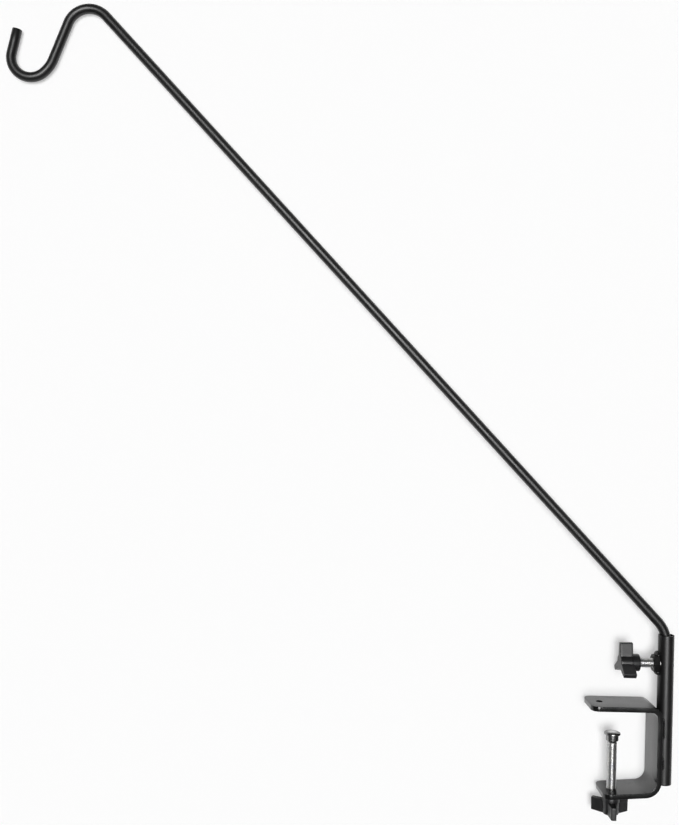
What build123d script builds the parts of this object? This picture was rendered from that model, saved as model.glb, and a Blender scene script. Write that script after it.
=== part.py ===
from build123d import *
import math
import os

# Clamp-on deck hook: a bent steel rod stands in a tube that is welded to a rail clamp.
# Lengths are millimetres and angles are degrees.
# The origin is on the underside of the upper jaw, on the clamp screw's axis.
# Z is up, X runs from the mouth of the jaws to the tube, and Y is across the flat bar.

# Flat bar bent into the two jaws
strap_width = 40.0
strap_thickness = 5.0
strap_edge_break = 0.7
screw_to_wall = 40.0
upper_reach = 66.0
lower_reach = 52.4
throat_height = 80.0
jaw_droop = 4.0
upper_bend_radius = 6.0
lower_bend_radius = 14.0
jaw_corner_radius = 8.0
fixing_hole_diameter = 6.5
fixing_hole_to_end = 12.0

# Tube that holds the rod
tube_outer_diameter = 16.0
tube_wall = 1.2
tube_length = 152.0
tube_rim_height = 74.5
tube_edge_chamfer = 0.4
tube_hole_play = 0.4

# Bent rod, from the shank in the tube up to the tip of the hook
rod_diameter = 10.0
rod_end_chamfer = 0.6
shank_depth = 140.0
seat_play = 0.25
seat_bend_radius = 32.0
arm_rise = 46.36
arm_length = 837.7
crest_bend_radius = 23.2
leg_lean = 21.1
leg_length = 40.5
cup_entry_radius = 34.0
cup_entry_turn = 29.2
cup_radius = 20.2
tip_lean = 12.5
tip_length = 24.6

# Threads, drawn as plain cylinders of their outside size
thread_diameter = 9.9
thread_play = 0.05
thread_chamfer = 1.0

# Hexagon nut welded to the tube for the lock screw
lock_drop = 29.0
nut_across_flats = 16.0
nut_thickness = 6.0
nut_chamfer = 1.8
nut_chamfer_share = 0.5
nut_bore_chamfer = 0.6

# Weld beads
bead_radius = 3.4
bead_bite = 0.8
bead_end_share = 0.6
upper_bead_drop = 8.0
upper_bead_length = 22.0
lower_bead_length_share = 26 / 95
lower_bead_to_foot_share = 33 / 95
nut_bead_sweep = 56.0
nut_bead_leg = 5.2
nut_bead_throat = 2.0

# Knobs with a round core and three tapered lobes, moulded over the screw heads
lobe_count = 3
knob_tip_radius = 20.4
knob_core_radius = 8.0
knob_tip_width = 5.2
knob_lobe_taper = 6.4
knob_tip_round = 1.4
knob_lobe_height = 13.0
knob_edge_break = 0.7
hub_diameter = 17.4
hub_height = 6.7
hub_edge_break = 0.6
lock_lobe_turn = 0.0
clamp_lobe_turn = -6.0
head_diameter = 13.0
head_height = 6.0
head_depth = 1.5

# Lock screw, at rest just clear of the rod
lock_stud_length = 22.4
lock_tip_play = 0.3

# Clamp screw, with a neck and a ball turned on its end
clamp_stud_length = 54.0
knob_to_jaw = 1.7
neck_diameter = 6.0
neck_length = 1.8
ball_diameter = 8.4

# Swivel pad closed over the ball
pad_diameter = 16.3
pad_cap_height = 3.1
pad_edge_break = 1.2
collar_diameter = 12.5
collar_height = 6.4
lip_diameter = 7.2
lip_thickness = 1.2
ball_play = 0.3

# Places worked out from the sizes
back_x = screw_to_wall + strap_thickness
tube_x = back_x + tube_outer_diameter / 2
tube_inner_radius = tube_outer_diameter / 2 - tube_wall
lock_z = tube_rim_height - lock_drop
nut_face_x = back_x - nut_thickness
lock_tip_x = tube_x - rod_diameter / 2 - lock_tip_play
lock_hub_x = lock_tip_x - lock_stud_length
screw_hole_radius = thread_diameter / 2 + thread_play
lower_weld_run = tube_length - tube_rim_height - upper_bead_drop - upper_bead_length
lower_bead_length = lower_bead_length_share * lower_weld_run
lower_bead_to_foot = lower_bead_to_foot_share * lower_weld_run
lower_bead_drop = tube_length - tube_rim_height - lower_bead_to_foot - lower_bead_length
droop_slope = math.tan(math.radians(jaw_droop))
jaw_top_z = -throat_height - screw_to_wall * droop_slope
jaw_under_z = jaw_top_z - strap_thickness / math.cos(math.radians(jaw_droop))
clamp_hub_z = jaw_under_z - knob_to_jaw
shoulder_z = clamp_hub_z + clamp_stud_length
neck_top_z = shoulder_z + neck_length
ball_z = neck_top_z + math.sqrt((ball_diameter / 2) ** 2 - (neck_diameter / 2) ** 2)
socket_radius = ball_diameter / 2 + ball_play
lip_reach = math.sqrt((ball_diameter / 2 + ball_play) ** 2 - (lip_diameter / 2) ** 2)
collar_z = ball_z - lip_reach - lip_thickness
rim_z = collar_z + collar_height
pad_top_z = rim_z + pad_cap_height
socket_roof_z = ball_z + socket_radius
overrun = strap_thickness


def build_clamp_strap():
    """C-shaped clamp: flat bar with an open lower jaw, a fixing hole and a threaded hole."""
    wall_top = (screw_to_wall, 0)
    wall_foot = (screw_to_wall, -throat_height)
    upper_end = (screw_to_wall - upper_reach, 0)
    droop = math.radians(jaw_droop)
    lower_end = (
        screw_to_wall - lower_reach * math.cos(droop),
        -throat_height - lower_reach * math.sin(droop),
    )
    with BuildPart() as strap:
        with BuildSketch(Plane.XZ):
            with BuildLine():
                FilletPolyline(
                    upper_end, wall_top, wall_foot, lower_end,
                    radius=(upper_bend_radius, lower_bend_radius),
                )
                offset(amount=strap_thickness, side=Side.LEFT)
            make_face()
        extrude(amount=strap_width / 2, both=True)
        free_ends = strap.faces().sort_by(Axis.X)[:2]
        fillet(free_ends.edges().filter_by(Axis.Y, reverse=True), jaw_corner_radius)
        chamfer(strap.faces().filter_by(Axis.Y).edges(), strap_edge_break)
        with Locations((upper_end[0] + fixing_hole_to_end, 0, strap_thickness)):
            Hole(fixing_hole_diameter / 2, depth=strap_thickness)
        with BuildSketch(Plane.XY.offset(jaw_under_z - overrun)):
            Circle(screw_hole_radius)
        extrude(amount=strap_thickness + 2 * overrun, mode=Mode.SUBTRACT)
    return strap


def build_socket_tube():
    """Open tube welded to the clamp's back, drilled on one side for the lock screw."""
    with BuildPart() as tube:
        with BuildSketch(Plane.XY.offset(tube_rim_height)):
            with Locations((tube_x, 0)):
                Circle(tube_outer_diameter / 2)
                Circle(tube_inner_radius, mode=Mode.SUBTRACT)
        extrude(amount=-tube_length)
        ends = tube.faces().filter_by(Axis.Z)
        rims = ends.edges().filter_by(lambda edge: edge.radius > tube_inner_radius)
        chamfer(rims, tube_edge_chamfer)
        with BuildSketch(Plane.YZ.offset(back_x)):
            with Locations((0, lock_z)):
                Circle(thread_diameter / 2 + tube_hole_play)
        extrude(amount=tube_outer_diameter / 2, mode=Mode.SUBTRACT)
    return tube


def build_lock_nut():
    """Thin hexagon nut on the tube's flank, its flats level, its rims turned conical."""
    blank_radius = nut_across_flats / math.sqrt(3)
    lock_axis = Axis((0, 0, lock_z), (1, 0, 0))
    with BuildPart() as nut:
        with BuildSketch(Plane.YZ.offset(nut_face_x)):
            with Locations((0, lock_z)):
                RegularPolygon(nut_across_flats / 2, side_count=6, major_radius=False)
                Circle(screw_hole_radius, mode=Mode.SUBTRACT)
        extrude(amount=nut_thickness)
        with BuildSketch(Plane.XZ):
            with BuildLine():
                Polyline(
                    (nut_face_x, lock_z),
                    (nut_face_x, lock_z + blank_radius - nut_chamfer),
                    (nut_face_x + nut_chamfer_share * nut_chamfer, lock_z + blank_radius),
                    (back_x, lock_z + blank_radius),
                    (back_x, lock_z),
                    close=True,
                )
            make_face()
        revolve(axis=lock_axis, mode=Mode.INTERSECT)
        chamfer(nut.faces().sort_by(Axis.X)[0].inner_wires().edges(), nut_bore_chamfer)
    return nut


def build_strap_bead(side, drop, length):
    """Fillet weld down the groove between the clamp's back and the tube."""
    centre_x = back_x + bead_radius - bead_bite
    reach = tube_outer_diameter / 2 + bead_radius - bead_bite
    centre_y = side * math.sqrt(reach**2 - (tube_x - centre_x) ** 2)
    with BuildPart() as bead:
        with BuildSketch(Plane.XY.offset(-drop)):
            with Locations((centre_x, centre_y)):
                Circle(bead_radius)
        extrude(amount=-length)
        chamfer(bead.edges().filter_by(GeomType.CIRCLE), bead_end_share * bead_radius)
        with BuildSketch(Plane.XY.offset(-drop)):
            with Locations((tube_x, 0)):
                Circle(tube_outer_diameter / 2)
            with Locations((back_x, centre_y)):
                Rectangle(bead_radius, 2 * bead_radius, align=(Align.MAX, Align.CENTER))
        extrude(amount=-length, mode=Mode.SUBTRACT)
    return bead


def build_nut_bead(side):
    """Hollow fillet weld above or below the nut, bent round the tube."""
    foot_z = lock_z + side * nut_across_flats / 2
    tube_radius = tube_outer_diameter / 2
    start = math.radians(180 - nut_bead_sweep / 2)
    start_plane = Plane(
        origin=(tube_x, 0, foot_z),
        x_dir=(math.cos(start), math.sin(start), 0),
        z_dir=(math.sin(start), -math.cos(start), 0),
    )
    with BuildPart() as bead:
        with BuildSketch(start_plane):
            with BuildLine():
                Polyline(
                    (tube_radius, 0),
                    (tube_radius + nut_bead_leg, 0),
                    (tube_radius + nut_bead_throat, side * nut_bead_throat),
                    (tube_radius, side * nut_bead_leg),
                    close=True,
                )
            make_face()
        revolve(axis=Axis((tube_x, 0, 0), (0, 0, 1)), revolution_arc=nut_bead_sweep)
    return bead


def build_hook_rod():
    """Round rod: shank, seat bend, long arm, crest, leg, open cup and short upturned tip."""
    inner_radius = seat_bend_radius - rod_diameter / 2 - seat_play
    seat_drop = math.sqrt(inner_radius**2 - (seat_bend_radius - tube_inner_radius) ** 2)
    bend_start_z = tube_rim_height - seat_drop
    crest_turn = 90 + arm_rise - leg_lean
    cup_turn = 180 - leg_lean - cup_entry_turn + tip_lean
    with BuildPart() as rod:
        with BuildLine(Plane.XZ) as route:
            shank = Line((tube_x, tube_rim_height - shank_depth), (tube_x, bend_start_z))
            seat = JernArc(shank @ 1, shank % 1, seat_bend_radius, 90 - arm_rise)
            arm = Line(seat @ 1, seat @ 1 + (seat % 1) * arm_length)
            crest = JernArc(arm @ 1, arm % 1, crest_bend_radius, crest_turn)
            leg = Line(crest @ 1, crest @ 1 + (crest % 1) * leg_length)
            entry = JernArc(leg @ 1, leg % 1, cup_entry_radius, -cup_entry_turn)
            cup = JernArc(entry @ 1, entry % 1, cup_radius, -cup_turn)
            Line(cup @ 1, cup @ 1 + (cup % 1) * tip_length)
        with BuildSketch(Plane.XY.offset(tube_rim_height - shank_depth)):
            with Locations((tube_x, 0)):
                Circle(rod_diameter / 2)
        sweep(path=route.line)
        ends = rod.faces().filter_by(GeomType.PLANE)
        chamfer(ends.edges(), rod_end_chamfer)
    length = sum(edge.length for edge in route.edges())
    print("rod length along its axis", round(length, 1))
    return rod


def build_lock_screw():
    """Lock screw: a threaded stud with a round head that the knob is moulded over."""
    head_x = lock_hub_x - head_depth
    head_top_z = lock_z + head_diameter / 2
    thread_top_z = lock_z + thread_diameter / 2
    with BuildPart() as screw:
        with BuildSketch(Plane.XZ):
            with BuildLine():
                Polyline(
                    (head_x - head_height, lock_z),
                    (head_x - head_height, head_top_z),
                    (head_x, head_top_z),
                    (head_x, thread_top_z),
                    (lock_tip_x - thread_chamfer, thread_top_z),
                    (lock_tip_x, thread_top_z - thread_chamfer),
                    (lock_tip_x, lock_z),
                    close=True,
                )
            make_face()
        revolve(axis=Axis((0, 0, lock_z), (1, 0, 0)))
    return screw


def build_clamp_screw():
    """Clamp screw: round head in the knob, thread through the jaw, neck and ball on top."""
    head_z = clamp_hub_z - head_depth
    ball_radius = ball_diameter / 2
    neck_radius = neck_diameter / 2
    with BuildPart() as screw:
        with BuildSketch(Plane.XZ):
            with BuildLine():
                Polyline(
                    (0, ball_z + ball_radius),
                    (0, head_z - head_height),
                    (head_diameter / 2, head_z - head_height),
                    (head_diameter / 2, head_z),
                    (thread_diameter / 2, head_z),
                    (thread_diameter / 2, shoulder_z - thread_chamfer),
                    (thread_diameter / 2 - thread_chamfer, shoulder_z),
                    (neck_radius, shoulder_z),
                    (neck_radius, neck_top_z),
                )
                ThreePointArc(
                    (neck_radius, neck_top_z),
                    (ball_radius, ball_z),
                    (0, ball_z + ball_radius),
                )
            make_face()
        revolve(axis=Axis.Z)
    return screw


def build_swivel_pad():
    """Swivel pad: a pressed cap on a collar whose lip is closed in under the ball."""
    with BuildPart() as pad:
        with BuildSketch(Plane.XZ):
            with BuildLine():
                Polyline(
                    (0, pad_top_z),
                    (pad_diameter / 2, pad_top_z),
                    (pad_diameter / 2, rim_z),
                    (collar_diameter / 2, rim_z),
                    (collar_diameter / 2, collar_z),
                    (lip_diameter / 2, collar_z),
                    (lip_diameter / 2, collar_z + lip_thickness),
                    (socket_radius, collar_z + lip_thickness),
                    (socket_radius, socket_roof_z),
                    (0, socket_roof_z),
                    close=True,
                )
            make_face()
        revolve(axis=Axis.Z)
        top_edge = pad.edges().group_by(Axis.Z)[-1]
        chamfer(top_edge, pad_edge_break)
    return pad


def build_knob(hub_plane):
    """Knob with a round core, flat tapered lobes, a hub, and a pocket for the screw's head."""
    lobe_slope = math.tan(math.radians(knob_lobe_taper))
    width_at_axis = knob_tip_width + 2 * knob_tip_radius * lobe_slope
    with BuildPart() as knob:
        with BuildSketch(hub_plane.offset(hub_height)):
            with PolarLocations(0, lobe_count):
                Trapezoid(
                    width_at_axis, knob_tip_radius + overrun, 90 - knob_lobe_taper,
                    rotation=-90, align=(Align.CENTER, Align.MIN),
                )
            Circle(knob_tip_radius, mode=Mode.INTERSECT)
            Circle(knob_core_radius)
        extrude(amount=knob_lobe_height)
        along = Axis((0, 0, 0), hub_plane.z_dir)
        upright_edges = knob.edges().filter_by(along).sort_by_distance(hub_plane.origin)
        fillet(upright_edges[-2 * lobe_count:], knob_tip_round)
        chamfer(knob.faces().filter_by(along).edges(), knob_edge_break)
        with BuildSketch(hub_plane):
            Circle(hub_diameter / 2)
        extrude(amount=hub_height)
        hub_rim = knob.edges().filter_by(GeomType.CIRCLE).sort_by(along)[0]
        chamfer(hub_rim, hub_edge_break)
        with BuildSketch(hub_plane):
            Circle(screw_hole_radius)
        extrude(amount=head_depth, mode=Mode.SUBTRACT)
        with BuildSketch(hub_plane.offset(head_depth)):
            Circle(head_diameter / 2 + thread_play)
        extrude(amount=head_height, mode=Mode.SUBTRACT)
    return knob


def lobe_plane(centre, outward, lobe_direction, turn):
    """Plane on the hub's face, its normal away from the screw, its X along one lobe."""
    return Plane(origin=centre, x_dir=lobe_direction, z_dir=outward).rotated((0, 0, turn))


lock_knob_plane = lobe_plane((lock_hub_x, 0, lock_z), (-1, 0, 0), (0, 0, 1), lock_lobe_turn)
clamp_knob_plane = lobe_plane((0, 0, clamp_hub_z), (0, 0, -1), (0, -1, 0), clamp_lobe_turn)
pieces = {
    "clamp_strap": build_clamp_strap(),
    "socket_tube": build_socket_tube(),
    "weld_upper_front": build_strap_bead(-1, upper_bead_drop, upper_bead_length),
    "weld_upper_back": build_strap_bead(1, upper_bead_drop, upper_bead_length),
    "weld_lower_front": build_strap_bead(-1, lower_bead_drop, lower_bead_length),
    "weld_lower_back": build_strap_bead(1, lower_bead_drop, lower_bead_length),
    "lock_nut": build_lock_nut(),
    "nut_weld_top": build_nut_bead(1),
    "nut_weld_bottom": build_nut_bead(-1),
    "hook_rod": build_hook_rod(),
    "lock_screw": build_lock_screw(),
    "lock_knob": build_knob(lock_knob_plane),
    "clamp_screw": build_clamp_screw(),
    "clamp_knob": build_knob(clamp_knob_plane),
    "swivel_pad": build_swivel_pad(),
}

os.makedirs("parts", exist_ok=True)
for name, piece in pieces.items():
    piece.part.label = name
    export_step(piece.part, f"parts/{name}.step")
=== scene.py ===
# %% [markdown]
# # A clamp-on deck hook, dressed for its picture
#
# A bent steel rod stands in a tube on a screw clamp. This lesson loads the plain
# solids, puts a finer surface over most of them, paints each one, and sets up the
# white table and the soft light that such a part is photographed with.
# All lengths are metres, and the frame is the one that the solids were drawn in:
# Z is up, X runs from the jaws' mouth to the tube, and the camera looks along +Y.

import math

import bpy
import numpy as np
from mathutils import Matrix, Vector


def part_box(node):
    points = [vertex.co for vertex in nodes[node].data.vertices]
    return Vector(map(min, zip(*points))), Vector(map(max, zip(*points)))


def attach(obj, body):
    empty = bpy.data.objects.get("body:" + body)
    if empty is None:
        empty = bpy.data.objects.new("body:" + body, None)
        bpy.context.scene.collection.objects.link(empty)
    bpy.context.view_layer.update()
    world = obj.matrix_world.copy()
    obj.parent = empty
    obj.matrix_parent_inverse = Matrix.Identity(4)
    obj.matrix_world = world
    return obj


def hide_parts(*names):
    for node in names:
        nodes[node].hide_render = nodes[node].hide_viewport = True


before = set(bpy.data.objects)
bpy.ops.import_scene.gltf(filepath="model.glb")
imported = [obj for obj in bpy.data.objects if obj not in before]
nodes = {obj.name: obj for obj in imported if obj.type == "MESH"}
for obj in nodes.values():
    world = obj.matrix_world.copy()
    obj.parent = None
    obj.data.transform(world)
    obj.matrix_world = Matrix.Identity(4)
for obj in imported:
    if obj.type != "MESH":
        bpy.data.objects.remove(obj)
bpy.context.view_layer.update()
print("solids:", sorted(nodes))

# %% [markdown]
# ## Sizes that the surfaces share with the solids
#
# The finer surfaces have to lie where the solids lie, so they use the same sizes.
# Places that the solids already give are read from their boxes, and only the
# radii, bends and turns are written down here.

# %% Sizes
MM = 0.001
box = {name: [np.array(corner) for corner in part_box(name)] for name in nodes}

tube_radius = 8.0 * MM
bore_radius = 6.8 * MM
tube_low, tube_high = box["socket_tube"][0][2], box["socket_tube"][1][2]
tube_x = (box["socket_tube"][0][0] + box["socket_tube"][1][0]) / 2

rod_radius = 5.0 * MM
rod_foot = box["hook_rod"][0][2]

strap_width = box["clamp_strap"][1][1] - box["clamp_strap"][0][1]
strap_thickness = 5.0 * MM
back_x = box["clamp_strap"][1][0]

thread_radius = 4.93 * MM
thread_root = 4.15 * MM
thread_pitch = 1.5 * MM

lock_height = (box["lock_screw"][0][2] + box["lock_screw"][1][2]) / 2
sharp_angle = 35
print("tube from", round(tube_low, 4), "to", round(tube_high, 4), "at x", round(tube_x, 4))
print("lock screw at height", round(lock_height, 4))

# %% [markdown]
# ## From a grid of points to a mesh
#
# Every new piece here is a surface with two directions: along it and around it.
# numpy works out all its points at once as a grid, and one helper turns any such
# grid into a mesh. The other way, moving vertices by hand in a loop, is slower
# and hides the formula that gives the piece its shape.

# %% Mesh helper


def grid_faces(rows, columns, close_rows):
    """Four corners for each cell of a grid whose columns close into rings."""
    row = np.arange(rows if close_rows else rows - 1)[:, None]
    column = np.arange(columns)[None, :]
    next_row = (row + 1) % rows
    next_column = (column + 1) % columns
    corners = [
        row * columns + column,
        row * columns + next_column,
        next_row * columns + next_column,
        next_row * columns + column,
    ]
    return np.stack(corners, -1).reshape(-1, 4)


def cap_faces(ring, centre, turn_over):
    """Three corners for each side of a ring: the side and the cap's centre."""
    ahead = np.roll(ring, -1)
    middle = np.full_like(ring, centre)
    return np.stack([ahead, ring, middle] if turn_over else [ring, ahead, middle], -1)


def enclosed_volume(points, triangles):
    """Sum of each triangle's signed pyramid to the origin: positive where they face out."""
    a, b, c = (points[triangles[:, k]] for k in range(3))
    return float(np.einsum("ij,ij->i", a, np.cross(b, c)).sum() / 6)


def surface(name, grid, body, stands_for, close_rows=False, sharp=sharp_angle):
    """A closed mesh from a grid of rings: quads between rings, and a fan on each open end."""
    rows, columns, _ = grid.shape
    points = grid.reshape(-1, 3)
    faces = grid_faces(rows, columns, close_rows).tolist()
    if not close_rows:
        ends = np.stack([grid[0].mean(0), grid[-1].mean(0)])
        points = np.concatenate([points, ends])
        ring = np.arange(columns)
        faces += cap_faces(ring, rows * columns, True).tolist()
        last_ring = ring + (rows - 1) * columns
        faces += cap_faces(last_ring, rows * columns + 1, False).tolist()
    fans = np.array([[f[0], f[k], f[k + 1]] for f in faces for k in range(1, len(f) - 1)])
    if enclosed_volume(points, fans) < 0:
        faces = [face[::-1] for face in faces]
    mesh = bpy.data.meshes.new(name)
    mesh.from_pydata(points.tolist(), [], faces)
    mesh.validate()
    mesh.polygons.foreach_set("use_smooth", np.ones(len(mesh.polygons), bool))
    mesh.set_sharp_from_angle(angle=math.radians(sharp))
    piece = bpy.data.objects.new(name, mesh)
    bpy.context.scene.collection.objects.link(piece)
    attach(piece, body)
    if stands_for:
        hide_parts(*stands_for)
    print(name, "has", len(mesh.polygons), "faces")
    return piece


def ring_angles(count):
    """Evenly spaced angles round a full turn."""
    return np.arange(count) * 2 * np.pi / count


def turned(profile, centre, axis, count=72):
    """A profile of (height, radius) pairs turned about an axis through the centre."""
    axis = np.array(axis, float)
    side = np.array([0, 1, 0]) if abs(axis[1]) < 0.5 else np.array([1, 0, 0])
    across = np.cross(axis, side)
    angle = ring_angles(count)
    spoke = np.cos(angle)[:, None] * side + np.sin(angle)[:, None] * across
    profile = np.asarray(profile, float)
    height, radius = profile[:, 0], profile[:, 1]
    return (
        np.asarray(centre, float)
        + height[:, None, None] * axis
        + radius[:, None, None] * spoke[None]
    )


# %% [markdown]
# ## Soft corners for a turned profile
#
# No made part has a perfect corner: an edge catches a thin line of light, and
# that line is what tells the eye that the piece is solid. This helper replaces
# each corner of a profile by a short arc, so that the turned pieces get real
# edges and don't need a Bevel modifier.

# %% Rounded profiles


def rounded(corners, radii, steps=5, closed=False):
    """Each corner of a polyline gives way to a parabola that leaves its sides a radius away."""
    corners = np.asarray(corners, float)
    radii = np.broadcast_to(radii, len(corners))
    count = len(corners)
    parts = []
    for k in range(count):
        here = corners[k]
        if not closed and k in (0, count - 1) or radii[k] == 0:
            parts.append(here[None])
            continue
        before, after = corners[k - 1], corners[(k + 1) % count]
        into, out = here - before, after - here
        reach = min(radii[k], np.linalg.norm(into) * 0.49, np.linalg.norm(out) * 0.49)
        start = here - into / np.linalg.norm(into) * reach
        end = here + out / np.linalg.norm(out) * reach
        t = np.linspace(0, 1, steps)[:, None]
        parts.append((1 - t) ** 2 * start + 2 * t * (1 - t) * here + t**2 * end)
    return np.concatenate(parts)


# %% [markdown]
# ## The bent rod
#
# The real one is a straight 10 mm bar, bent cold round formers. Its centre line
# is therefore straight runs and arcs of a circle, and nothing in between. The
# centre line is built in one pass from a list of runs: each gives its length and
# how far it turns, and the next starts where the last one ends.

# %% Rod centre line
seat_gap = 0.25 * MM
seat_bend = 32.0 * MM
arm_length, leg_length, tip_length = 837.7 * MM, 40.5 * MM, 24.6 * MM
crest_bend, entry_bend, cup_bend = 23.2 * MM, 34.0 * MM, 20.2 * MM
arm_rise, leg_lean, tip_lean, entry_turn = 46.36, 21.1, 12.5, 29.2

inner_bend = seat_bend - rod_radius - seat_gap
seat_drop = math.sqrt(inner_bend**2 - (seat_bend - bore_radius) ** 2)
shank_length = tube_high - seat_drop - rod_foot
seat_turn = 90 - arm_rise
crest_turn = 90 + arm_rise - leg_lean
cup_turn = 180 - leg_lean - entry_turn + tip_lean

# Each run: its length, and its turn to the left in degrees as the camera sees it
runs = [
    (shank_length, 0),
    (seat_bend * math.radians(seat_turn), seat_turn),
    (arm_length, 0),
    (crest_bend * math.radians(crest_turn), crest_turn),
    (leg_length, 0),
    (entry_bend * math.radians(entry_turn), -entry_turn),
    (cup_bend * math.radians(cup_turn), -cup_turn),
    (tip_length, 0),
]


def centre_line(runs, start, heading, step_straight, step_bent):
    """Heading grows evenly along each run, and the place is the running sum of its steps."""
    lengths, headings = [0.0], [heading]
    for length, turn in runs:
        steps = max(2, int(length / (step_bent if turn else step_straight)))
        share = np.arange(1, steps + 1) / steps
        lengths += (lengths[-1] + share * length).tolist()
        headings += (headings[-1] + share * math.radians(turn)).tolist()
    lengths, headings = np.array(lengths), np.array(headings)
    step = np.diff(lengths)
    middle = (headings[1:] + headings[:-1]) / 2
    half = np.diff(headings) / 2
    chord = step * np.sinc(half / np.pi)
    x = start[0] + np.concatenate([[0], np.cumsum(chord * np.cos(middle))])
    z = start[1] + np.concatenate([[0], np.cumsum(chord * np.sin(middle))])
    return lengths, headings, x, z


along, heading, line_x, line_z = centre_line(
    runs, (tube_x, rod_foot), math.pi / 2, step_straight=12 * MM, step_bent=1.2 * MM
)
print("rod length", round(along[-1], 4), "ends at", round(line_x[-1], 4), round(line_z[-1], 4))

# %% Rod surface
end_break = 0.6 * MM


def circle_drop(radius, from_end):
    """How far a quarter circle lies inside its square corner, by the distance from the end."""
    inside = np.maximum(radius - from_end, 0)
    return radius - np.sqrt(np.maximum(radius**2 - inside**2, 0))


def broken_end(along, total, radius, size):
    """Places and radii of rings: the radius shrinks along a quarter circle at both ends."""
    edge = size * (1 - np.cos(np.linspace(0, np.pi / 2, 5)))[:-1]
    between_ends = along[(along > size) & (along < total - size)]
    places = np.concatenate([edge, between_ends, total - edge[::-1]])
    from_end = np.minimum(places, total - places)
    return places, radius - circle_drop(size, from_end)


places, ring_radius = broken_end(along, along[-1], rod_radius, end_break)
rod_x = np.interp(places, along, line_x)
rod_z = np.interp(places, along, line_z)
rod_heading = np.interp(places, along, heading)
angle = ring_angles(48)[None, :, None]
normal = np.stack([-np.sin(rod_heading), 0 * rod_heading, np.cos(rod_heading)], -1)
spoke = np.cos(angle) * normal[:, None] + np.sin(angle) * np.array([0, 1, 0])
rod_middle = np.stack([rod_x, 0 * rod_x, rod_z], -1)
rod_grid = rod_middle[:, None] + ring_radius[:, None, None] * spoke
bent_rod = surface("bent_rod", rod_grid, "hook", ["hook_rod"])

# %% [markdown]
# ## The tube
#
# A plain welded tube, sawn off and lightly filed. Its wall is one closed profile
# that goes up the outside, over the rim and down the bore, turned about the
# tube's axis. A Solidify modifier on a cylinder would give the wall as well, but
# not the outer edges broken and the inner ones left sharp, as a saw leaves them.

# %% Tube surface
filed_edge, sawn_edge = 0.45 * MM, 0.12 * MM
wall_profile = rounded(
    [
        (tube_low, tube_radius),
        (tube_high, tube_radius),
        (tube_high, bore_radius),
        (tube_low, bore_radius),
    ],
    [filed_edge, filed_edge, sawn_edge, sawn_edge],
    closed=True,
)
rim_band = np.linspace(tube_low + 1 * MM, tube_high - 1 * MM, 40)
outside = np.stack([rim_band, np.full_like(rim_band, tube_radius)], -1)
cut = int(np.argmax(wall_profile[:, 0] > (tube_low + tube_high) / 2))
wall_profile = np.concatenate([wall_profile[:cut], outside, wall_profile[cut:]])
tube = surface(
    "socket",
    turned(wall_profile, (tube_x, 0, 0), (0, 0, 1), 96),
    "clamp",
    ["socket_tube"],
    close_rows=True,
)

# %% [markdown]
# ## The clamp's flat bar
#
# One length of 40 by 5 mm bar, bent twice. It is a profile carried along a path:
# the profile is the bar's section with its rolled edges, and the path is the
# bar's middle line through both bends. Near each free end the section narrows
# along a quarter circle, which rounds the corners as a press would.

# %% Flat bar surface
droop_degrees = 4.0
droop = math.radians(droop_degrees)
upper_bend, lower_bend = 6.0 * MM, 11.5 * MM
corner_round, edge_round = 8.0 * MM, 0.35 * MM
half_thick = strap_thickness / 2
upper_reach, lower_reach, throat = 66.0 * MM, 52.4 * MM, 80.0 * MM

upper_tangent = upper_bend
lower_turn = 90 - droop_degrees
lower_tangent = lower_bend * math.tan(math.radians(lower_turn) / 2)
bar_runs = [
    (upper_reach - upper_tangent, 0),
    ((upper_bend + half_thick) * math.pi / 2, -90),
    (throat - upper_tangent - lower_tangent, 0),
    ((lower_bend + half_thick) * math.radians(lower_turn), -lower_turn),
    (lower_reach - lower_tangent, 0),
]
bar_start = (back_x - strap_thickness - upper_reach, half_thick)
bar_along, bar_heading, bar_x, bar_z = centre_line(
    bar_runs, bar_start, 0.0, step_straight=4 * MM, step_bent=0.8 * MM
)


def bar_section(half_width, inset):
    """Four edge arcs round a rectangle, which as a whole shrinks by the inset at the ends."""
    quarter = np.linspace(0, np.pi / 2, 6)
    turns = np.concatenate([quarter + k * np.pi / 2 for k in range(4)])
    side = np.repeat([1, -1, -1, 1], 6)
    face = np.repeat([1, 1, -1, -1], 6)
    width = side * (half_width[:, None] - edge_round) + edge_round * np.cos(turns)
    thick = face * (half_thick - edge_round) + edge_round * np.sin(turns)
    thick = np.broadcast_to(thick, width.shape)
    narrower = 1 - inset[:, None] / half_width[:, None]
    thinner = 1 - inset[:, None] / half_thick
    return width * narrower, thick * thinner


bar_total = bar_along[-1]
fine = np.concatenate([
    edge_round * (1 - np.cos(np.linspace(0, np.pi / 2, 5))),
    np.linspace(edge_round * 1.2, corner_round, 18),
])
end_zone = corner_round * 1.05
inner_places = bar_along[(bar_along > end_zone) & (bar_along < bar_total - end_zone)]
bar_places = np.concatenate([fine, inner_places, bar_total - fine[::-1]])
from_end = np.minimum(bar_places, bar_total - bar_places)
lost, inset = circle_drop(corner_round, from_end), circle_drop(edge_round, from_end)
section_y, section_t = bar_section(strap_width / 2 - lost, inset)
middle_x, middle_z, bar_turn = (
    np.interp(bar_places, bar_along, values)[:, None] for values in (bar_x, bar_z, bar_heading)
)
bar_grid = np.stack(
    [
        middle_x - np.sin(bar_turn) * section_t,
        section_y,
        middle_z + np.cos(bar_turn) * section_t,
    ],
    -1,
)
flat_bar = surface("flat_bar", bar_grid, "clamp", ["clamp_strap"])

# %% [markdown]
# ## Two holes through the bar
#
# The fixing hole in the upper jaw and the threaded hole in the lower one are
# drilled after the bar is bent, so here they are cut after it is built: a turned
# cutter with flared ends takes each hole and its countersunk rims out in one
# Boolean. The cutters are thrown away afterwards.

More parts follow.
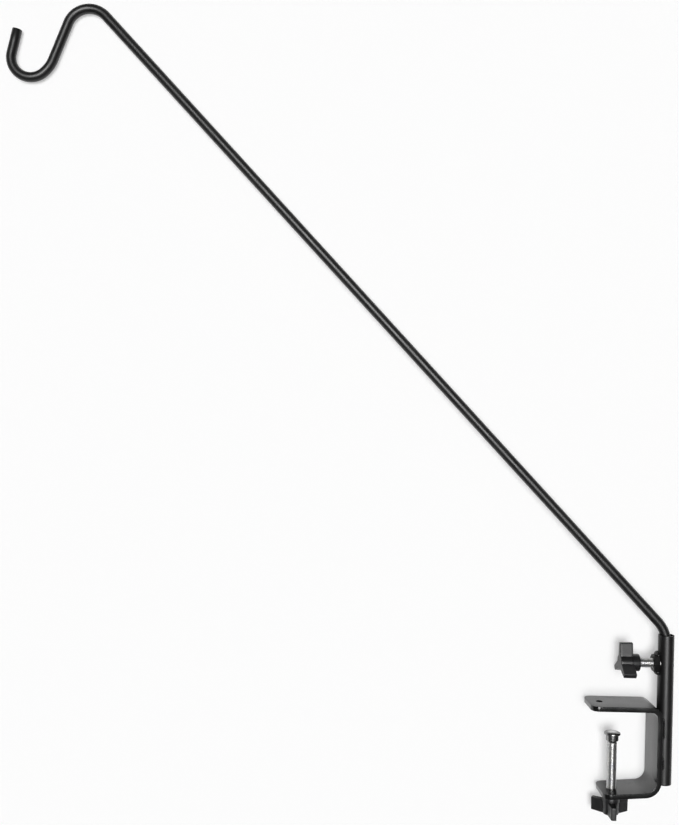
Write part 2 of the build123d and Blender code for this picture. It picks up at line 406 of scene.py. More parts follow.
# %% Drill the bar
fixing_hole_radius, fixing_hole_to_end = 3.25 * MM, 12.0 * MM
screw_hole_radius, screw_to_wall = 5.0 * MM, 40.0 * MM
fixing_flare, screw_flare = 0.3 * MM, 0.5 * MM


def drill(piece, centre, axis, radius, low, high, flare):
    """Takes a turned cutter, wider by the flare at the two faces, out of the piece."""
    profile = [
        (low - 3 * flare, radius + 4 * flare),
        (low + flare, radius),
        (high - flare, radius),
        (high + 3 * flare, radius + 4 * flare),
    ]
    cutter = surface("cutter", turned(profile, centre, axis, 48), "clamp", [])
    modifier = piece.modifiers.new("hole", "BOOLEAN")
    modifier.operation = "DIFFERENCE"
    modifier.solver = "EXACT"
    modifier.object = cutter
    cut_mesh = bpy.data.meshes.new_from_object(
        piece.evaluated_get(bpy.context.evaluated_depsgraph_get())
    )
    piece.modifiers.clear()
    piece.data = cut_mesh
    piece.data.name = piece.name
    bpy.data.objects.remove(cutter)
    piece.data.set_sharp_from_angle(angle=math.radians(sharp_angle))
    print(piece.name, "now has", len(piece.data.polygons), "faces")


hole_x = bar_start[0] + fixing_hole_to_end
drill(
    flat_bar, (hole_x, 0, 0), (0, 0, 1), fixing_hole_radius, 0, strap_thickness, fixing_flare
)
jaw_at_screw = -throat - screw_to_wall * math.tan(droop)
lower_face = jaw_at_screw - strap_thickness / math.cos(droop)
drill(
    flat_bar, (0, 0, 0), (0, 0, 1), screw_hole_radius, lower_face, jaw_at_screw, screw_flare
)

# %% [markdown]
# ## Weld beads
#
# A weld laid by hand is a row of overlapping puddles. Seen along the bead they
# are crescents, because the pool freezes from its edge. The bead is a ring
# carried along its path with a radius that ripples, and the ripple is shifted by
# the ring's angle so that each crescent bows toward the end of the run.

# %% Bead surface
ripple_step, ripple_share = 1.7 * MM, 0.12
groove_radius, groove_x, groove_y = 3.25 * MM, back_x + 2.6 * MM, 9.0 * MM
collar_bead_radius, collar_sweep, collar_squeeze = 3.1 * MM, 34, 0.72
collar_out, collar_off = 1.1 * MM, 1.2 * MM
rng = np.random.default_rng(7)


def bead_grid(path, side, up, radius, squeeze):
    """Ring round a path: a rounded-off radius with crescent ripples and slow unevenness."""
    steps = np.linalg.norm(np.diff(path, axis=0), axis=1)
    along = np.concatenate([[0], np.cumsum(steps)])
    total = along[-1]
    angle = ring_angles(36)
    inset = np.minimum(along, total - along)
    swell = np.sqrt(np.clip(1 - np.clip(1 - inset / (0.9 * radius), 0, 1) ** 2, 0.0004, 1))
    phase = along[:, None] / ripple_step - 0.55 * (1 + np.cos(angle))[None]
    crest = 0.5 + 0.5 * np.cos(2 * np.pi * phase)
    drift = np.interp(along, np.linspace(0, total, 9), rng.normal(0, 0.035, 9))
    ring = radius * swell[:, None] * (1 + drift[:, None] + ripple_share * (crest**2 - 0.45))
    return (
        path[:, None]
        + (ring * np.cos(angle) * squeeze)[..., None] * side[:, None]
        + (ring * np.sin(angle))[..., None] * up[:, None]
    )


def groove_bead(name, side):
    """Bead down the groove between the bar's back and the tube, on one side."""
    low, high = box[name]
    z = np.linspace(high[2], low[2], 150)
    path = np.stack([np.full_like(z, groove_x), np.full_like(z, side * groove_y), z], -1)
    out = np.tile([-0.15, side * 0.99, 0.0], (len(z), 1))
    across = np.tile([0.99, side * 0.15, 0.0], (len(z), 1))
    grid = bead_grid(path, out, across, groove_radius, 1.0)
    return surface(name + "_bead", grid, "clamp", [name])


def collar_bead(name, side):
    """Bead bent round the tube, above or below the nut."""
    low, high = box[name]
    foot = low[2] if side > 0 else high[2]
    turn = np.radians(np.linspace(180 - collar_sweep, 180 + collar_sweep, 120))
    ring = tube_radius + collar_out
    out = np.stack([np.cos(turn), np.sin(turn), 0 * turn], -1)
    path = np.array([tube_x, 0, foot + side * collar_off]) + ring * out
    up = np.tile([0.0, 0.0, float(side)], (len(turn), 1))
    lean = (out + up) / math.sqrt(2)
    other = (up - out) / math.sqrt(2)
    grid = bead_grid(path, lean, other, collar_bead_radius, collar_squeeze)
    return surface(name + "_bead", grid, "clamp", [name])


beads = [
    groove_bead("weld_upper_front", -1),
    groove_bead("weld_upper_back", 1),
    groove_bead("weld_lower_front", -1),
    groove_bead("weld_lower_back", 1),
    collar_bead("nut_weld_top", 1),
    collar_bead("nut_weld_bottom", -1),
]

# %% [markdown]
# ## Screws with real threads
#
# A screw thread is a notch that climbs by one pitch in each turn. On a grid of
# height and angle that is one line: how far a point is along its own groove is
# its height less the pitch times its share of a turn. The radius follows that
# distance up and down, and fades to a plain shank where the thread runs out.

# %% Thread function
crest_share, flank_share = 0.12, 0.72


def threaded(profile, centre, axis, thread_low, thread_high, rows_per_pitch=10, count=56):
    """A turned profile whose radius follows a climbing V-shaped groove between two heights."""
    axis = np.array(axis, float)
    side = np.array([0, 1, 0])
    across = np.cross(axis, side)
    profile = np.asarray(profile, float)
    fine_rows = np.arange(thread_low, thread_high, thread_pitch / rows_per_pitch)
    outside = (profile[:, 0] < thread_low) | (profile[:, 0] > thread_high)
    height = np.sort(np.concatenate([profile[outside, 0], fine_rows, [thread_high]]))
    order = np.argsort(profile[:, 0], kind="stable")
    radius = np.interp(height, profile[order, 0], profile[order, 1])
    angle = ring_angles(count)
    groove = (height[:, None] - thread_pitch * angle[None] / (2 * np.pi)) / thread_pitch
    groove = np.abs((groove % 1.0) * 2 - 1)
    depth = np.clip((groove - crest_share) / flank_share, 0, 1)
    fade = np.clip((height - thread_low) / thread_pitch, 0, 1)
    fade = fade * np.clip((thread_high - height) / thread_pitch, 0, 1)
    cut_in = (thread_radius - thread_root) * depth * fade[:, None]
    ring = radius[:, None] - cut_in
    spoke = np.cos(angle)[:, None] * side + np.sin(angle)[:, None] * across
    middle = np.asarray(centre, float) + height[:, None, None] * axis
    return middle + ring[..., None] * spoke[None]


# %% Lock screw
lock_low, lock_high = box["lock_screw"][0][0], box["lock_screw"][1][0]
head_length, head_radius, head_edge = 6.0 * MM, 6.5 * MM, 0.3 * MM
chamfer_length, chamfer_depth = 1.0 * MM, 0.9 * MM
thread_after_head, thread_before_end = 1.4 * MM, 1.2 * MM


def head_and_shank(low, high):
    """Heights and radii of a head with broken edges and of a shank with a chamfered end."""
    return [
        (low, head_radius - head_edge),
        (low + head_edge, head_radius),
        (low + head_length - head_edge, head_radius),
        (low + head_length, head_radius - head_edge),
        (low + head_length + 0.01 * MM, thread_radius),
        (high - chamfer_length, thread_radius),
        (high - 0.2 * MM, thread_radius - chamfer_depth),
    ]


lock_profile = head_and_shank(lock_low, lock_high) + [(lock_high, thread_radius - 1.2 * MM)]
lock_stud = surface(
    "lock_stud",
    threaded(
        lock_profile,
        (0, 0, lock_height),
        (1, 0, 0),
        lock_low + head_length + thread_after_head,
        lock_high - thread_before_end,
    ),
    "lock_screw_body",
    ["lock_screw"],
    sharp=60,
)

# %% Clamp screw
screw_low, screw_high = box["clamp_screw"][0][2], box["clamp_screw"][1][2]
ball_radius, neck_radius = 4.2 * MM, 3.0 * MM
ball_height = screw_high - ball_radius
neck_top = ball_height - math.sqrt(ball_radius**2 - neck_radius**2)
shoulder = neck_top - 1.8 * MM
ball_start = math.asin((neck_top - ball_height) / ball_radius)
neck = [(shoulder, neck_radius + 0.4 * MM), (shoulder + 0.3 * MM, neck_radius)]
ball = [
    (ball_height + ball_radius * math.sin(a), ball_radius * math.cos(a))
    for a in np.linspace(ball_start, np.pi / 2 - 0.02, 16)
]
screw_profile = head_and_shank(screw_low, shoulder) + neck + ball
clamp_stud = surface(
    "clamp_stud",
    threaded(
        screw_profile,
        (0, 0, 0),
        (0, 0, 1),
        screw_low + head_length + thread_after_head,
        shoulder - thread_before_end,
    ),
    "clamp_screw_body",
    [],
    sharp=60,
)

# %% [markdown]
# ## The swivel pad
#
# A pressed cap whose collar is closed in under the screw's ball, so that it tips
# but doesn't come off. The profile starts inside, goes down the socket, round the
# lip and up the collar, out under the cap's rim and over its dome.

# %% Pad surface
pad_low, pad_high = box["swivel_pad"][0][2], box["swivel_pad"][1][2]
pad_radius, collar_radius, lip_radius, socket_radius = (
    8.15 * MM, 6.25 * MM, 3.6 * MM, 4.5 * MM
)
cap_height, dome_height, cap_wall, lip_wall = 3.1 * MM, 1.9 * MM, 1.1 * MM, 1.2 * MM
pad_corners = [
    (pad_high - cap_wall, 0.02 * MM),
    (pad_high - cap_wall, socket_radius),
    (pad_low + lip_wall, socket_radius),
    (pad_low + lip_wall, lip_radius),
    (pad_low, lip_radius),
    (pad_low, collar_radius),
    (pad_high - cap_height, collar_radius),
    (pad_high - cap_height, pad_radius),
    (pad_high - dome_height, pad_radius),
]
pad_rounds = np.array([0, 0.6, 0.2, 0.3, 0.5, 1.1, 0.35, 0.45, 0]) * MM
fall = np.linspace(np.pi / 2, 0.01, 16)[1:]
dome = np.stack([pad_high - dome_height * (1 - np.cos(fall)), pad_radius * np.sin(fall)], -1)
pad_profile = np.concatenate([rounded(pad_corners, pad_rounds, steps=8), dome])
swivel = surface(
    "swivel_cap",
    turned(pad_profile, (0, 0, 0), (0, 0, 1), 80),
    "pad_body",
    ["swivel_pad"],
)

# %% [markdown]
# ## Three-lobed knobs
#
# A moulded knob: a round core with three flat wings that taper to their tips, on
# a round hub. Seen along its axis the outline is a radius that depends only on
# the angle, so the whole knob is a grid of angle and step, where the steps run
# from the middle of one face out to its edge, round the edge, down the side and
# in again. The wings are grained for grip, and the core and the hub are smooth,
# so each point also carries a number that says how grained it is there.

# %% Knob outline
tip_radius, core_radius, tip_width, tip_round = 20.4 * MM, 8.0 * MM, 5.2 * MM, 1.4 * MM
lobe_taper = math.radians(6.4)
lobe_height, hub_height, hub_radius = 13.0 * MM, 6.7 * MM, 8.7 * MM
knob_edge, head_depth = 0.8 * MM, 1.5 * MM
hub_overlap, head_gap, stud_gap = 0.6 * MM, 0.05 * MM, 0.07 * MM
easing_from, easing_over = 12 * MM, 3 * MM
mould_draft, lock_turn, clamp_turn = 0.012, 0, 6


def lobed_outline(count=1440):
    """Radius by angle: a straight flank, cut off by the circles of the lobe's tip and the core."""
    t = ring_angles(count)
    from_lobe = np.abs((t + math.pi / 3) % (2 * math.pi / 3) - math.pi / 3)
    slope = math.tan(lobe_taper)
    half_width_at_axis = tip_width / 2 + tip_radius * slope
    flank = half_width_at_axis / (np.sin(from_lobe) + slope * np.cos(from_lobe))
    radius = np.clip(flank, core_radius, tip_radius)
    return np.stack([radius * np.cos(t), radius * np.sin(t)], -1)


def eased(outline, reach, count=720):
    """Outline at even steps: each point near the tips is an average along the curve."""
    loop = np.concatenate([outline, outline[:1]])
    steps = np.linalg.norm(np.diff(loop, axis=0), axis=1)
    along = np.concatenate([[0], np.cumsum(steps)])
    even = np.linspace(0, along[-1], count, endpoint=False)
    points = np.stack([np.interp(even, along, loop[:, k]) for k in range(2)], -1)
    width = int(reach / (along[-1] / count))
    kernel = np.hanning(2 * width + 3)
    kernel /= kernel.sum()
    wrapped = np.concatenate([points[-width - 1:], points, points[: width + 1]])
    smooth = np.stack([np.convolve(wrapped[:, k], kernel, "valid") for k in range(2)], -1)
    from_axis = np.linalg.norm(points, axis=1)
    share = np.clip((from_axis - easing_from) / easing_over, 0, 1)[:, None]
    return points * (1 - share) + smooth * share


knob_outline = eased(lobed_outline(), tip_round)[::3]
ahead = np.roll(knob_outline, -1, 0) - np.roll(knob_outline, 1, 0)
outward = np.stack([ahead[:, 1], -ahead[:, 0]], -1)
outward /= np.linalg.norm(outward, axis=1)[:, None]
widest = round(float(np.abs(knob_outline).max()), 4)
print("knob outline has", len(knob_outline), "points, widest", widest)

# %% Knob surface


def knob_grid(origin, outward_axis, lobe_axis, turn):
    """Rings from the face's middle to its edge, down the side, and in again under the wings."""
    z_axis = np.array(outward_axis, float)
    x_axis = np.array(lobe_axis, float)
    y_axis = np.cross(z_axis, x_axis)
    quarter = np.linspace(0, np.pi / 2, 6)
    scale = [0.02, 0.3, 0.6, 0.82, 0.93]
    inset = [knob_edge] * 5
    height = [lobe_height] * 5
    edge_in = knob_edge * (1 - np.sin(quarter))
    edge_down = knob_edge * (1 - np.cos(quarter))
    side = np.linspace(knob_edge, lobe_height - knob_edge, 8)[1:-1]
    scale += [1.0] * (6 + len(side) + 6) + scale[::-1]
    inset += edge_in.tolist() + [0.0] * len(side) + edge_in[::-1].tolist() + inset[:5]
    height += (
        (lobe_height - edge_down).tolist()
        + (lobe_height - side).tolist()
        + edge_down[::-1].tolist()
        + [0.0] * 5
    )
    scale, inset, height = (np.array(values)[:, None, None] for values in (scale, inset, height))
    draft = 1 - mould_draft * height / lobe_height
    flat = (knob_outline[None] - inset * outward[None]) * scale * draft
    c, s = math.cos(math.radians(turn)), math.sin(math.radians(turn))
    u = flat[..., 0] * c - flat[..., 1] * s
    v = flat[..., 0] * s + flat[..., 1] * c
    return (
        np.array(origin, float)
        + u[..., None] * x_axis
        + v[..., None] * y_axis
        + (hub_height + height) * z_axis
    )


def hub_grid(origin, outward_axis):
    """Hub with a broken rim, a hole for the stud, and a wider pocket round its head."""
    hub_profile = rounded(
        [
            (hub_height + hub_overlap, head_radius + head_gap),
            (head_depth, head_radius + head_gap),
            (head_depth, thread_radius + stud_gap),
            (0, thread_radius + stud_gap),
            (0, hub_radius),
            (hub_height + hub_overlap, hub_radius),
        ],
        [0, 0, 0, 0.3 * MM, 0.8 * MM, 0],
    )
    return turned(hub_profile, origin, outward_axis, 72)


def joined(first, second):
    """Puts the second piece's mesh into the first piece and removes the second."""
    with bpy.context.temp_override(
        active_object=first, object=first, selected_editable_objects=[first, second],
        selected_objects=[first, second],
    ):
        bpy.ops.object.join()
    return first


hub_end_x = lock_low + head_length + head_depth
hub_top_z = screw_low + head_length + head_depth


def mark_grain(piece, origin, axis):
    """Stores how grained each point is: 0 out to the hub's radius and 1 beyond or on top."""
    count = len(piece.data.vertices)
    points = np.empty(count * 3)
    piece.data.vertices.foreach_get("co", points)
    offset = points.reshape(-1, 3) - np.array(origin)
    axis = np.array(axis, float)
    height = offset @ axis
    from_axis = np.linalg.norm(offset - height[:, None] * axis, axis=1)
    on_top = height > hub_height + lobe_height - 0.1 * MM
    grained = np.clip((from_axis - hub_radius - 0.1 * MM) / (0.4 * MM), 0, 1)
    grained = np.maximum(grained, on_top * 1.0)
    store = piece.data.attributes.new("grained", "FLOAT", "POINT")
    store.data.foreach_set("value", grained)


def knob(place, origin, axis, lobe_axis, turn, body, node):
    """Wings and hub in one piece, with its grain marked."""
    piece = joined(
        surface("knob_" + place, knob_grid(origin, axis, lobe_axis, turn), body, [node]),
        surface("hub_" + place, hub_grid(origin, axis), body, [], close_rows=True),
    )
    mark_grain(piece, origin, axis)
    return piece


lock_hub, clamp_hub = (hub_end_x, 0, lock_height), (0, 0, hub_top_z)
knob_lock = knob(
    "lock", lock_hub, (-1, 0, 0), (0, 0, 1), lock_turn, "lock_knob_body", "lock_knob"
)
knob_clamp = knob(
    "clamp", clamp_hub, (0, 0, -1), (0, -1, 0), clamp_turn, "clamp_screw_body", "clamp_knob"
)
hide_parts("clamp_screw")

# %% [markdown]
# ## Finishes
#
# Three finishes cover everything: black powder coat, bright zinc and black
# moulded plastic. Each is a small tree of nodes on object coordinates, so that
# its grain has the same size in millimetres on every piece.

# %% Node helpers


def new_finish(name):
    """A material with an empty tree, its shader, and a coordinate source in object space."""
    material = bpy.data.materials.new(name)
    material.use_nodes = True
    tree = material.node_tree
    tree.nodes.clear()
    shader = tree.nodes.new("ShaderNodeBsdfPrincipled")
    output = tree.nodes.new("ShaderNodeOutputMaterial")
    place = tree.nodes.new("ShaderNodeTexCoord")
    tree.links.new(shader.outputs["BSDF"], output.inputs["Surface"])
    return material, tree, shader, place


def grain(tree, place, scale, detail):
    """Noise whose features are about 1/scale metres wide."""
    noise = tree.nodes.new("ShaderNodeTexNoise")
    noise.inputs["Scale"].default_value = scale
    noise.inputs["Detail"].default_value = detail
    noise.inputs["Roughness"].default_value = 0.55
    tree.links.new(place.outputs["Object"], noise.inputs["Vector"])
    return noise


def between(tree, source, low, high, out_low, out_high):
    """Maps a value's range onto another one, and holds it there."""
    mapped = tree.nodes.new("ShaderNodeMapRange")
    for key, value in (
        ("From Min", low), ("From Max", high), ("To Min", out_low), ("To Max", out_high)
    ):
        mapped.inputs[key].default_value = value
    tree.links.new(source, mapped.inputs["Value"])
    return mapped.outputs["Result"]


def node_math(tree, operation, first, second, clamp=False):
    """One operation on two values, each a number or a socket, held from 0 to 1 if asked."""
    node = tree.nodes.new("ShaderNodeMath")
    node.operation = operation
    node.use_clamp = clamp
    for socket, value in zip(node.inputs, (first, second)):
        if isinstance(value, float):
            socket.default_value = value
        else:
            tree.links.new(value, socket)
    return node.outputs["Value"]


def two_tones(tree, share, first, second):
    """Goes from the first colour to the second with a share; each is a colour or a socket."""
    mix = tree.nodes.new("ShaderNodeMix")
    mix.data_type = "RGBA"
    for key, value in (("A", first), ("B", second)):
        if isinstance(value, tuple):
            mix.inputs[key].default_value = (*value, 1)
        else:
            tree.links.new(value, mix.inputs[key])
    tree.links.new(share, mix.inputs["Factor"])
    return mix.outputs["Result"]


def bumped(tree, shader, height, distance, strength, before=None):
    """A height that tilts the shading normal by real distances."""
    bump = tree.nodes.new("ShaderNodeBump")
    bump.inputs["Distance"].default_value = distance
    bump.inputs["Strength"].default_value = strength
    tree.links.new(height, bump.inputs["Height"])
    if before is not None:
        tree.links.new(before.outputs["Normal"], bump.inputs["Normal"])
    tree.links.new(bump.outputs["Normal"], shader.inputs["Normal"])
    return bump


# %% [markdown]
# ### Powder coat
#
# Powder is sprayed on dry and melts into a skin with a fine orange-peel ripple,
# about a millimetre from crest to crest and a few microns deep. That ripple
# spreads the reflection of a lamp into a soft band down a round bar.

# %% Powder coat


def powder_coat(name, roughness, tone, gloss):
    """Near-black skin: orange peel, pinhead grit, and patches that are a little duller."""
    material, tree, shader, place = new_finish(name)
    peel = grain(tree, place, 700, 2.0)
    grit = grain(tree, place, 4200, 2.0)
    patch = grain(tree, place, 55, 3.0)
    colour = two_tones(
        tree,
        between(tree, patch.outputs["Fac"], 0.35, 0.7, 0, 1),
        (tone * 0.82, tone * 0.82, tone * 0.84),
        (tone * 1.2, tone * 1.2, tone * 1.2),
    )
    tree.links.new(colour, shader.inputs["Base Color"])
    rough = between(tree, patch.outputs["Fac"], 0.3, 0.75, roughness - 0.04, roughness + 0.06)
    tree.links.new(rough, shader.inputs["Roughness"])
    shader.inputs["Specular IOR Level"].default_value = gloss
    first = bumped(tree, shader, peel.outputs["Fac"], 0.00004, 0.8)
    bumped(tree, shader, grit.outputs["Fac"], 0.000012, 0.7, before=first)
    return material


rod_coat = powder_coat("rod_powder_coat", roughness=0.38, tone=0.0055, gloss=0.59)
tube_coat = powder_coat("tube_powder_coat", roughness=0.39, tone=0.0055, gloss=0.50)
clamp_coat = powder_coat("clamp_powder_coat", roughness=0.18, tone=0.0060, gloss=0.55)
bead_coat = powder_coat("bead_powder_coat", roughness=0.18, tone=0.0060, gloss=0.50)
print("powder coats:", rod_coat.name, tube_coat.name, clamp_coat.name, bead_coat.name)

# %% [markdown]
# ### Bright zinc
#
# The screws and the pad are zinc plated: a pale grey metal with a faint blue and
# straw tint that changes from place to place, and duller where it was handled.
# The pad's zinc is painted darker than the screws', as painted shade for the dark
# reflections round its rim, and the middle of its dome is painted bright, as a
# painted highlight. Distance from the pad's axis and height give that patch, so it
# stays on the dome when the screw moves.

# %% Zinc


# Painted highlight: 1 marks the bright patch painted on the middle of the pad's dome.
def painted_highlight_patch(tree, place, middle, rim, from_height):
    """1 within the middle's radius about the Z axis, and 0 past the rim's or below a height."""
    parts = tree.nodes.new("ShaderNodeSeparateXYZ")
    tree.links.new(place.outputs["Object"], parts.inputs["Vector"])
    across = node_math(tree, "MULTIPLY", parts.outputs["X"], parts.outputs["X"])
    along = node_math(tree, "MULTIPLY", parts.outputs["Y"], parts.outputs["Y"])
    distance = node_math(tree, "SQRT", node_math(tree, "ADD", across, along), 0.0)
    high = between(tree, parts.outputs["Z"], from_height - 0.2 * MM, from_height, 0, 1)
    return node_math(tree, "MULTIPLY", between(tree, distance, middle, rim, 1, 0), high)


def bright_zinc(name, roughness, shade, painted_highlight=None):
    """Metal of a given shade, with cloudy tints, fine marks and maybe a painted highlight patch.
    """
    material, tree, shader, place = new_finish(name)
    cloud = grain(tree, place, 160, 4.0)
    marks = grain(tree, place, 2600, 3.0)
    colour = two_tones(
        tree,
        between(tree, cloud.outputs["Fac"], 0.3, 0.7, 0, 1),
        (0.92 * shade, 0.93 * shade, 0.96 * shade),
        (1.11 * shade, 1.10 * shade, 1.06 * shade),
    )
    # The patch paints a highlight: the colour turns to bright grey there.
    if painted_highlight is not None:
        colour = two_tones(tree, painted_highlight_patch(tree, place, *painted_highlight), colour, (0.86, 0.86, 0.85))
    tree.links.new(colour, shader.inputs["Base Color"])
    shader.inputs["Metallic"].default_value = 1.0
    shader.inputs["Specular Tint"].default_value = (0.50, 0.50, 0.51, 1)
    rough = between(tree, marks.outputs["Fac"], 0.3, 0.75, roughness - 0.06, roughness + 0.12)
    tree.links.new(rough, shader.inputs["Roughness"])
    bumped(tree, shader, marks.outputs["Fac"], 0.00001, 0.6)
    return material


stud_zinc = bright_zinc("stud_zinc", roughness=0.35, shade=0.64)
# The pad's low shade is painted shade for its dark rim reflections, and its dome's middle gets a
# painted highlight.
highlight_middle, highlight_rim, highlight_from = 2.4 * MM, 6.0 * MM, pad_high - dome_height
pad_zinc_painted_light = bright_zinc(
    "pad_zinc_painted_light", roughness=0.22, shade=0.32, painted_highlight=(highlight_middle, highlight_rim, highlight_from)
)
print("zincs:", stud_zinc.name, pad_zinc_painted_light.name)

# %% [markdown]
# ### Moulded plastic
#
# The knobs come out of a mould whose wings were spark-eroded, which leaves an
# even fine grain, and whose core and hub were polished. One finish does both: it
# reads the number that each point of the knob carries, and turns from smooth to
# grained with it.

# %% Plastic


def moulded_plastic(name):
    """Black plastic: smooth on the core and hub, grained where the knob's own number says so."""
    material, tree, shader, place = new_finish(name)
    spark = grain(tree, place, 2400, 2.0)
    cloud = grain(tree, place, 90, 2.0)
    where = tree.nodes.new("ShaderNodeAttribute")
    where.attribute_name = "grained"
    colour = two_tones(
        tree,
        between(tree, cloud.outputs["Fac"], 0.3, 0.7, 0, 1),
        (0.009, 0.009, 0.0095),
        (0.016, 0.016, 0.0165),
    )
    tree.links.new(colour, shader.inputs["Base Color"])
    worn = between(tree, spark.outputs["Fac"], 0.3, 0.7, -0.05, 0.05)
    rough = node_math(tree, "ADD", between(tree, where.outputs["Fac"], 0, 1, 0.31, 0.41), worn)
    tree.links.new(rough, shader.inputs["Roughness"])
    shader.inputs["Specular IOR Level"].default_value = 0.5
    bump = bumped(tree, shader, spark.outputs["Fac"], 0.00005, 1.0)
    tree.links.new(between(tree, where.outputs["Fac"], 0, 1, 0.1, 1.0), bump.inputs["Strength"])
    return material


knob_plastic = moulded_plastic("knob_plastic")
print("plastic:", knob_plastic.name)

# %% Paint the pieces


def paint(piece, material):
    """Gives a piece its one finish."""
    piece.data.materials.clear()
    piece.data.materials.append(material)


for pieces, material, record_slot in (
    ([flat_bar], clamp_coat, "black_powder_coat"),
    (beads, bead_coat, "black_powder_coat"),
    ([tube, nodes["lock_nut"]], tube_coat, "black_powder_coat"),
    ([bent_rod], rod_coat, "black_powder_coat"),
    ([lock_stud, clamp_stud], stud_zinc, "zinc_plated_steel"),
    ([swivel], pad_zinc_painted_light, "zinc_plated_steel"),
    ([knob_lock, knob_clamp], knob_plastic, "black_plastic"),
):
    for piece in pieces:
        paint(piece, material)
    print(material.name, "on", [piece.name for piece in pieces])

# %% [markdown]
# ## The white table
#
# The hook was photographed lying on a white table, from above. In the part's own
# frame that table stands upright just behind the clamp, and leans by one degree,
# because the clamp lies on its edge and the rod's far end on the table. It shows
# only from the front: from behind it is clear, so other views still see the hook.
# In the picture it is nearly burnt out, and its shadows are light. So the camera
# sees a mixture of the lit table and plain white, and the metal mirrors a little
# of that white too. No light is added to the hook for it.

# %% Table
hook_side = np.array([-0.69, 0.724])
near_clamp, lean_drop, lean_run, reach = 21.0 * MM, 15.4 * MM, 0.9, 3.0
camera_lift, mirror_lift = 0.45, 0.2


def table_point(x, z):
    """Corner of the table: it leans so that the far end of the hook almost touches it."""
    return (x, near_clamp - lean_drop / lean_run * float(hook_side @ (x, z)), z)


plan = ((-reach, -reach), (reach, -reach), (reach, reach), (-reach, reach))
corners = [table_point(x, z) for x, z in plan]
table_mesh = bpy.data.meshes.new("table")
table_mesh.from_pydata(corners, [], [(0, 1, 2, 3)])
table = bpy.data.objects.new("table", table_mesh)
bpy.context.scene.collection.objects.link(table)

table_white, tree, shader, _ = new_finish("table_white")
shader.inputs["Base Color"].default_value = (0.97, 0.97, 0.97, 1)
shader.inputs["Roughness"].default_value = 0.9
shader.inputs["Specular IOR Level"].default_value = 0.0
glow = tree.nodes.new("ShaderNodeEmission")
lifted = tree.nodes.new("ShaderNodeMixShader")
seen_by = tree.nodes.new("ShaderNodeLightPath")
lift = node_math(tree, "MULTIPLY", seen_by.outputs["Is Camera Ray"], camera_lift)
for ray in ("Is Glossy Ray", "Is Transmission Ray"):
    mirrored = node_math(tree, "MULTIPLY", seen_by.outputs[ray], mirror_lift)
    lift = node_math(tree, "ADD", lift, mirrored)
tree.links.new(lift, lifted.inputs["Fac"])
tree.links.new(shader.outputs["BSDF"], lifted.inputs[1])
tree.links.new(glow.outputs["Emission"], lifted.inputs[2])
clear = tree.nodes.new("ShaderNodeBsdfTransparent")
choose = tree.nodes.new("ShaderNodeMixShader")
facing = tree.nodes.new("ShaderNodeNewGeometry")
output = next(n for n in tree.nodes if n.type == "OUTPUT_MATERIAL")
tree.links.new(facing.outputs["Backfacing"], choose.inputs["Fac"])
tree.links.new(lifted.outputs["Shader"], choose.inputs[1])
tree.links.new(clear.outputs["BSDF"], choose.inputs[2])
tree.links.new(choose.outputs["Shader"], output.inputs["Surface"])
table_mesh.materials.append(table_white)
print("table normal", tuple(round(c, 2) for c in table_mesh.polygons[0].normal))

# %% [markdown]
# ## Light
#
# Round black bars need little light and clear edges to it. One soft key lamp,
# straight above the table beside the camera, draws a soft bright line down each
# bar and puts a light shadow close round the hook. It gives most of the light,
# and the white room gives the rest, so that a colour renders about as it is
# written. The room has a dark card behind the camera, which keeps the finish
# black beside its bright line. The camera, mirrors and glass see a full white
# room, apart from that card.

# %% Room
plain_white, card_white, card_edge, card_gone = 0.9, 0.08, 0.1, 0.6
world = bpy.data.worlds.new("studio")
bpy.context.scene.world = world
world.use_nodes = True
room = world.node_tree
room.nodes.clear()
seen_by = room.nodes.new("ShaderNodeLightPath")
background_seen = node_math(
    room,
    "ADD",
    node_math(room, "ADD", seen_by.outputs["Is Camera Ray"], seen_by.outputs["Is Glossy Ray"]),
    seen_by.outputs["Is Transmission Ray"],
    clamp=True,
)
direction = room.nodes.new("ShaderNodeTexCoord")
parts = room.nodes.new("ShaderNodeSeparateXYZ")
room.links.new(direction.outputs["Generated"], parts.inputs["Vector"])
card = between(room, parts.outputs["Y"], card_edge, card_gone, card_white, 1.0)
card.node.interpolation_type = "SMOOTHSTEP"
past_card = node_math(room, "MAXIMUM", card, seen_by.outputs["Is Camera Ray"])
extra_white = node_math(room, "MULTIPLY", background_seen, 1 - plain_white)
room_white = node_math(room, "ADD", extra_white, plain_white)
background = room.nodes.new("ShaderNodeBackground")
background.inputs["Color"].default_value = (1, 1, 1, 1)
room.links.new(node_math(room, "MULTIPLY", room_white, past_card), background.inputs["Strength"])
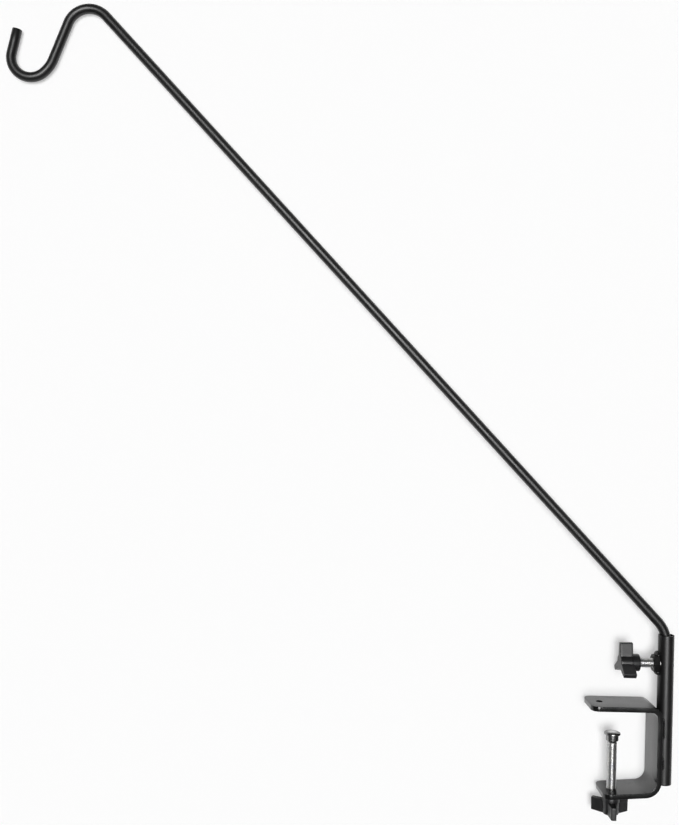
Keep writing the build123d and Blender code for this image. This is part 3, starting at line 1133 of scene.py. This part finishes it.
room_output = room.nodes.new("ShaderNodeOutputWorld")
room.links.new(background.outputs["Background"], room_output.inputs["Surface"])
print("room white", plain_white, "with a card of", card_white, "behind the camera")

# %% Lamps


def soft_lamp(name, share, width_deg, comes_from):
    """A lamp with parallel light: its share of the plain level, its width and its side."""
    data = bpy.data.lights.new(name, "SUN")
    data.energy = share * math.pi
    data.angle = math.radians(width_deg)
    lamp = bpy.data.objects.new(name, data)
    bpy.context.scene.collection.objects.link(lamp)
    lamp.rotation_mode = "QUATERNION"
    lamp.rotation_quaternion = Vector(comes_from).normalized().to_track_quat("Z", "Y")
    print(name, "gives", share, "of the light")


soft_lamp("key", share=0.92, width_deg=31, comes_from=(-0.05, -1.0, 0.0))

# %% [markdown]
# ## Camera
#
# The photo's camera was square to the rod's plane, about a metre away, and the
# clamp leans a little in its picture. The camera is placed from where the
# picture shows the part's origin, with each pixel worth a millimetre or so.

# %% Camera
picture_width, picture_height = 679, 825
metres_per_pixel = 1.0225 * MM
distance_pixels, sensor_width = 985.0, 36.0
roll = math.radians(1.29)
origin_pixel = (612.85, 706.4)
right = Vector((math.cos(roll), 0, math.sin(roll)))
up = Vector((-math.sin(roll), 0, math.cos(roll)))
ahead_dir = Vector((0, 1, 0))
across = (origin_pixel[0] - picture_width / 2) * metres_per_pixel
below = (origin_pixel[1] - picture_height / 2) * metres_per_pixel
camera_data = bpy.data.cameras.new("camera")
camera_data.sensor_fit = "AUTO"
camera_data.sensor_width = sensor_width
camera_data.lens = sensor_width * distance_pixels / picture_height
camera = bpy.data.objects.new("camera", camera_data)
bpy.context.scene.collection.objects.link(camera)
distance = distance_pixels * metres_per_pixel
place_of_camera = -across * right + below * up - distance * ahead_dir
turn = Matrix((right, up, -ahead_dir)).transposed()
camera.matrix_world = Matrix.Translation(place_of_camera) @ turn.to_4x4()
bpy.context.scene.camera = camera
print("camera at", tuple(round(c, 4) for c in place_of_camera), "lens", round(camera_data.lens, 2))

# %% View settings and hand over
bpy.context.scene.view_settings.view_transform = "Standard"
